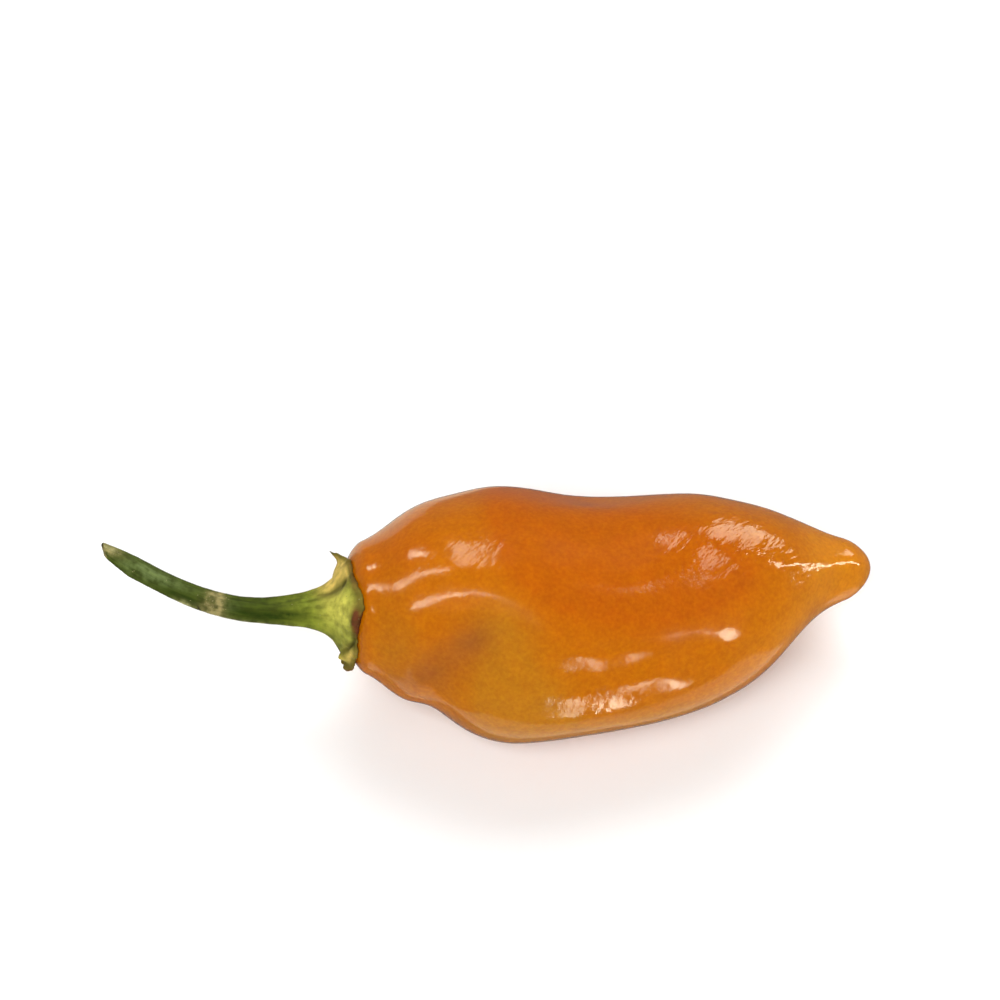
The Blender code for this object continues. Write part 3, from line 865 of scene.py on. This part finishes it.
def green_stem_skin():
    material, tree, shader = new_material("green_stem_rind")
    spot = add_node(tree, "ShaderNodeTexCoord").outputs["Object"]
    mottle = add_node(tree, "ShaderNodeTexNoise", {
        "Vector": spot, "Scale": 1 / (MOTTLE_SIZE * MM), "Detail": 4.0,
    })
    along_fibres = add_node(tree, "ShaderNodeAttribute", attribute_name="fibre").outputs["Vector"]
    drawn_out = add_node(tree, "ShaderNodeMapping", {"Vector": along_fibres, "Scale": (0.12, 1.0, 1.0)})
    fibres = add_node(tree, "ShaderNodeTexNoise", {
        "Vector": drawn_out.outputs[0], "Scale": 1 / (FIBRE_WIDTH * MM), "Detail": 3.0,
    })
    broken = add_node(tree, "ShaderNodeMapRange", {
        "Value": mottle.outputs[0], "From Min": 0.35, "From Max": 0.6, "To Min": 0.35, "To Max": 1.2,
    }).outputs[0]
    steady = add_node(tree, "ShaderNodeMapRange", {
        "Value": mottle.outputs[0], "From Min": 0.35, "From Max": 0.6, "To Min": 0.88, "To Max": 1.05,
    }).outputs[0]
    colour = linear("3c470e")
    # One paint, in the calyx's folds and pit, is painted shade.
    for mask, shade, evenness in (
        ("flare", "727b24", steady), ("cushion", "c2bc50", steady), ("tan", "ccb058", steady),
        ("bloom", "5b6938", broken), ("streak", "263404", broken), ("scar", "8b8050", broken),
        ("pale", "a8a46c", broken), ("rim", "716424", steady), ("fold", "4a4510", steady),
        ("dried", "64361c", steady), ("dark", "18120a", steady),
    ):
        painted = add_node(tree, "ShaderNodeAttribute", attribute_name=mask).outputs["Fac"]
        uneven = add_node(tree, "ShaderNodeMath", {0: painted, 1: evenness},
                          operation="MULTIPLY", use_clamp=True)
        colour = add_node(tree, "ShaderNodeMix", {
            "Factor": uneven.outputs[0], "A": colour, "B": linear(shade),
        }, data_type="RGBA").outputs["Result"]
    both = add_node(tree, "ShaderNodeMath", {0: mottle.outputs[0], 1: fibres.outputs[0]})
    tone = add_node(tree, "ShaderNodeMapRange", {
        "Value": both.outputs[0], "From Min": 0.75, "From Max": 1.25, "To Min": 0.68, "To Max": 1.32,
    }).outputs[0]
    speckled = add_node(tree, "ShaderNodeHueSaturation", {"Value": tone, "Color": colour}).outputs[0]
    tree.links.new(speckled, shader.inputs["Base Color"])
    bump = add_node(tree, "ShaderNodeBump", {
        "Height": both.outputs[0], "Strength": 0.5, "Distance": RIND_BUMP_HEIGHT * MM,
    })
    tree.links.new(bump.outputs[0], shader.inputs["Normal"])
    shader.inputs["Roughness"].default_value = 0.6
    shader.inputs["IOR"].default_value = 1.18
    return material


stem = grown(
    "stem_and_calyx_skin", stem_plain, RELIEF,
    Swell_height=0.12 * MM, Swell_length=(2.0 * MM, 2.0 * MM, 2.0 * MM),
    Wrinkle_height=0.4 * MM, Wrinkle_lengths=(0.9 * MM, 0.6 * MM, 0.6 * MM), Smoothest_share=0.16,
    Turn=(0.0, 0.0, 0.0), Seed=9.0, Material=green_stem_skin(),
)
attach(stem, "root")
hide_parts("stem_and_calyx")

# %% [markdown]
# Real stems are dotted with lenticels, the pale corky pores that a plant breathes through, and the scar
# on this one is full of dry flecks. Cork is matt and pale, and catches the light as small dots that stand
# a little proud. Geometry Nodes scatter tiny flattened beads over the stem's finished skin, half sunk
# into it, many more of them where the scar is painted.

# %% Geometry Nodes: pale flecks scattered over the stem
def flecks_tree():
    """Scatters small flat beads over a mesh, most of them where it is painted as scar."""
    tree, given = start_tree("scattered_flecks", (
        ("Per square metre", "Float"),
        ("Share elsewhere", "Float"),
        ("Smallest", "Vector"),
        ("Largest", "Vector"),
        ("Seed", "Int"),
    ))
    scar = add_node(tree, "GeometryNodeInputNamedAttribute", {"Name": "scar"}, data_type="FLOAT")
    crowding = add_node(tree, "ShaderNodeMapRange", {
        "Value": scar.outputs[0], "To Min": given["Share elsewhere"],
    })
    density = add_node(tree, "ShaderNodeMath", {0: crowding.outputs[0], 1: given["Per square metre"]},
                       operation="MULTIPLY")
    scattered = add_node(tree, "GeometryNodeDistributePointsOnFaces", {
        "Mesh": given["Geometry"], "Density": density.outputs[0], "Seed": given["Seed"],
    })
    bead = add_node(tree, "GeometryNodeMeshUVSphere", {"Segments": 8, "Rings": 5, "Radius": 1.0}).outputs[0]
    size = add_node(tree, "FunctionNodeRandomValue", {
        "Min": given["Smallest"], "Max": given["Largest"], "Seed": given["Seed"],
    }, data_type="FLOAT_VECTOR").outputs[0]
    placed = add_node(tree, "GeometryNodeInstanceOnPoints", {
        "Points": scattered.outputs["Points"], "Instance": bead, "Rotation": scattered.outputs["Rotation"],
        "Scale": size,
    })
    end_tree(tree, placed.outputs[0], given["Material"])
    return tree


def dry_cork():
    material, _, shader = new_material("dry_pale_cork")
    shader.inputs["Base Color"].default_value = linear("857f50")
    shader.inputs["Roughness"].default_value = 0.75
    shader.inputs["IOR"].default_value = 1.3
    return material


flecks = grown(
    "stem_flecks", stem.data.copy(), flecks_tree(),
    Per_square_metre=6.0e6, Share_elsewhere=0.02, Seed=3, Material=dry_cork(),
    Smallest=(0.03 * MM, 0.03 * MM, 0.015 * MM), Largest=(0.09 * MM, 0.08 * MM, 0.035 * MM),
)
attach(flecks, "root")

# %% [markdown]
# The camera looks down at 60 degrees through a long lens, so that the chilli's sizes hardly change with
# depth. It stands where the photograph's scale and the calyx's place in it put it.

# %% Camera
PHOTO_WIDTH = 1000
PIXELS_PER_MM = 8.636
CALYX_PIXEL = (352, 610)
LENS, SENSOR = 120.0, 36.0
calyx_point = np.array(POD_AXIS[1]) + in_frame
down = math.radians(LOOKING_DOWN)
looking = np.array([0.0, math.cos(down), -math.sin(down)])
upwards = np.array([0.0, math.sin(down), math.cos(down)])
distance = PHOTO_WIDTH * LENS / SENSOR / PIXELS_PER_MM
off_right = (PHOTO_WIDTH / 2 - CALYX_PIXEL[0]) / PIXELS_PER_MM
off_up = (CALYX_PIXEL[1] - PHOTO_WIDTH / 2) / PIXELS_PER_MM
aim = calyx_point + off_right * np.array([1.0, 0.0, 0.0]) + off_up * upwards
camera = bpy.data.objects.new("camera", bpy.data.cameras.new("camera"))
camera.data.lens, camera.data.sensor_width = LENS, SENSOR
camera.data.clip_start = 0.01
camera.location = (aim - distance * looking) * MM
camera.rotation_euler = (math.radians(90 - LOOKING_DOWN), 0.0, 0.0)
bpy.context.scene.collection.objects.link(camera)
bpy.context.scene.camera = camera
print("the camera stands", round(distance), "mm from the calyx")

# %% [markdown]
# A plain white board in a dim, even room. Three big soft lamps do the shading: the key high up on the
# viewer's side, one behind, which throws the short shadow towards the viewer and lights the far edge,
# and a weak one low in front. They are kept out of the gloss.
#
# What shows in the gloss are small bright panes, as of the windows and tubes of a room, which add no light
# of their own. Each one hangs where a mirror lying on the skin would look from the place of its
# reflection. Some places on the near side look down at the table, so their panes hang below its level,
# and the board itself is left out of the gloss. Two broad, faint glows stand for the lit table there.

# %% Floor and room
# In metres. The board is a hair under the chilli, so that the two never lie in one plane.
FLOOR_HALF, FLOOR_Z = 3.0, -1e-4
floor_mesh = bpy.data.meshes.new("floor")
corners = [(x * FLOOR_HALF, y * FLOOR_HALF, FLOOR_Z) for x, y in ((-1, -1), (1, -1), (1, 1), (-1, 1))]
floor_mesh.from_pydata(corners, [], [(0, 1, 2, 3)])
board, _, board_shader = new_material("matt_white_board")
board_shader.inputs["Base Color"].default_value = linear("fcfcfc")
board_shader.inputs["Roughness"].default_value = 0.9
floor_mesh.materials.append(board)
floor = bpy.data.objects.new("floor", floor_mesh)
floor.visible_glossy = False
bpy.context.scene.collection.objects.link(floor)

world = bpy.data.worlds.new("dim_room")
world.use_nodes = True
world.node_tree.nodes["Background"].inputs["Color"].default_value = linear("ffffff")
world.node_tree.nodes["Background"].inputs["Strength"].default_value = 0.2
bpy.context.scene.world = world
bpy.context.scene.view_settings.view_transform = "Standard"
print("the board is at", FLOOR_Z / MM, "mm")

# %% A lamp told by directions
LAMP_DISTANCE = 2.0
WARM_WHITE, WHITE = (1.0, 0.99, 0.76), (1.0, 1.0, 1.0)


def direction(azimuth, elevation):
    a, e = math.radians(azimuth), math.radians(elevation)
    return Vector((math.cos(a) * math.cos(e), math.sin(a) * math.cos(e), math.sin(e)))


def lamp(name, start, end, width, radiance, for_gloss):
    """A rectangular lamp that faces the pod, from one direction (azimuth, elevation) to another."""
    near_end, far_end = direction(*start) * LAMP_DISTANCE, direction(*end) * LAMP_DISTANCE
    away = (near_end + far_end) / 2
    along = (far_end - near_end).normalized()
    facing = (away - along * away.dot(along)).normalized()
    light = bpy.data.lights.new(name, "AREA")
    light.shape = "RECTANGLE"
    light.size = (far_end - near_end).length
    light.size_y = 2 * LAMP_DISTANCE * math.tan(math.radians(width / 2))
    light.energy = radiance * math.pi * light.size * light.size_y
    light.color = WARM_WHITE if for_gloss else WHITE
    holder = bpy.data.objects.new(name, light)
    turned = Matrix((along, facing.cross(along), facing)).transposed()
    holder.matrix_world = Matrix.Translation(away) @ turned.to_4x4()
    holder.visible_camera = False
    holder.visible_glossy = for_gloss
    holder.visible_diffuse = not for_gloss
    bpy.context.scene.collection.objects.link(holder)


# %% The lamps that shade, and the panes that show in the gloss
# Each one's name, the directions of its two ends as (azimuth, elevation), its width in degrees, and its
# radiance. A window pane is PANE bright and a lit tube TUBE.
PANE, TUBE = 9.0, 25.0
SOFTBOXES = [
    ("key_softbox", (-112, 45), (-112, 73), 28, 8.9),
    ("back_softbox", (85, 35), (85, 69), 36, 5.0),
    ("front_softbox", (-35, 12), (-45, 35), 40, 2.5),
]
PANES = [
    ("left_pane", (97.5, 47), (109, 78), 12, 0.9 * PANE),
    ("left_bar", (145, 21), (135.5, 46), 3.5, TUBE),
    ("left_sill", (174, 20), (160, 76), 4, 1.9 * PANE),
    ("tube", (-158, 30.5), (-96, 66.5), 2.2, 1.2 * TUBE),
    ("right_window", (50, 9), (43, 45), 22, 0.9 * PANE),
    ("right_window_foot", (-6, 50), (12, 62), 12, 0.85 * PANE),
    ("tip_strip", (10, 28), (8, -5), 6, TUBE),
    ("small_pane", (-49, 14), (-37, 15), 17, 0.85 * TUBE),
    ("low_pane", (-69, -4), (-74, -26), 4, 1.2 * PANE),
    ("low_pane_side", (-64, -10), (-61, -28), 4, TUBE),
    ("low_streak", (-73, -8), (-68, -2), 3, PANE),
    ("left_glow", (119, -15), (104, -50), 24, 0.6),
    ("low_glow", (-75, -38), (-75, -80), 70, 0.85),
]
for row in SOFTBOXES:
    lamp(*row, for_gloss=False)
for row in PANES:
    lamp(*row, for_gloss=True)
print(len(bpy.data.lights), "lamps")
